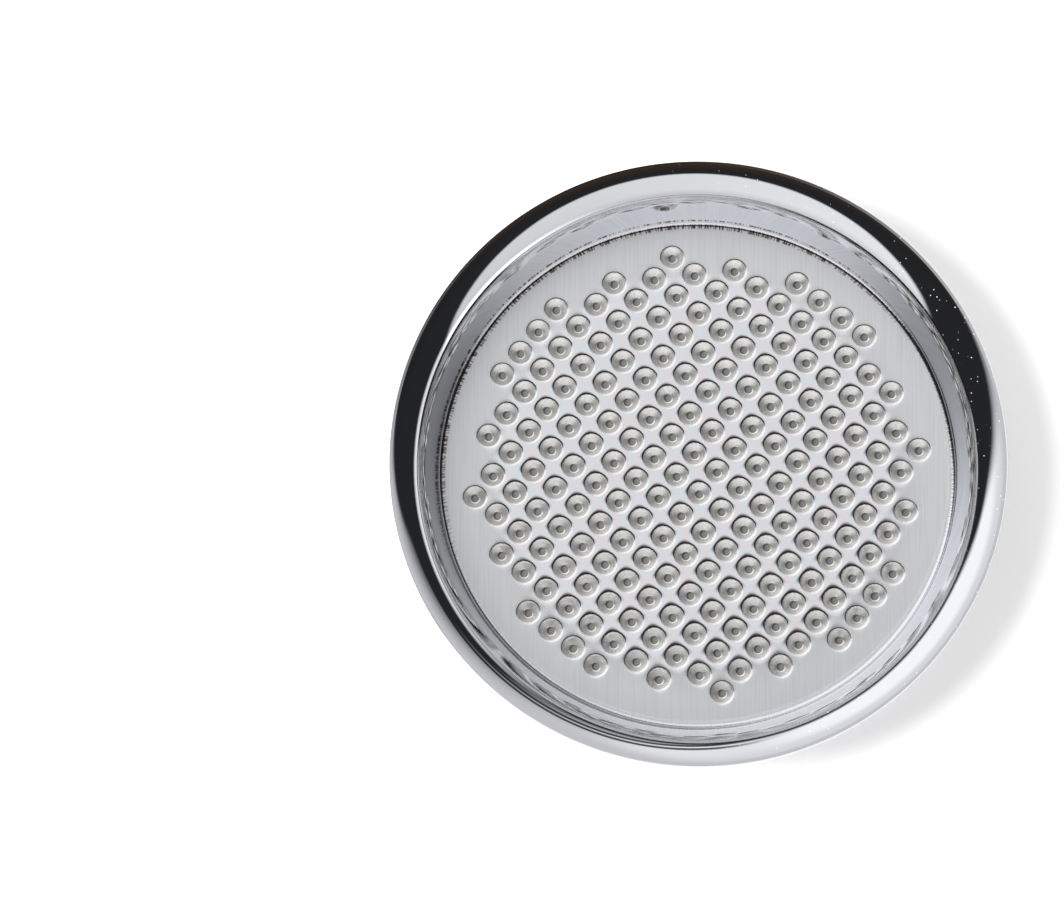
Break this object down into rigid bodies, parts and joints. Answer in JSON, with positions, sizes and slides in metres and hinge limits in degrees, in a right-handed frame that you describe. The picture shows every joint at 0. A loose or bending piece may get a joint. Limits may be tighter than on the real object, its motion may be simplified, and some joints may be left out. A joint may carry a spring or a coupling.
{
  "type": "espresso shower screen",
  "caption": "Round stainless screen, a shallow cup with a flared rim and a floor of pierced conical dimples, that spreads brewing water evenly over the coffee.",
  "frame": {"origin": "centre of the floor's flat underside, on the plane that the screen lies on", "axes": "+Z along the cup's axis, out of its mouth; the rows of dimples are turned 51.2 degrees from +X"},
  "size_m": [0.06, 0.06, 0.0069],
  "materials": {
    "stainless_sheet": "polished stainless steel"
  },
  "bodies": {
    "root": {"shower_screen": "stainless_sheet"}
  },
  "joints": []
}
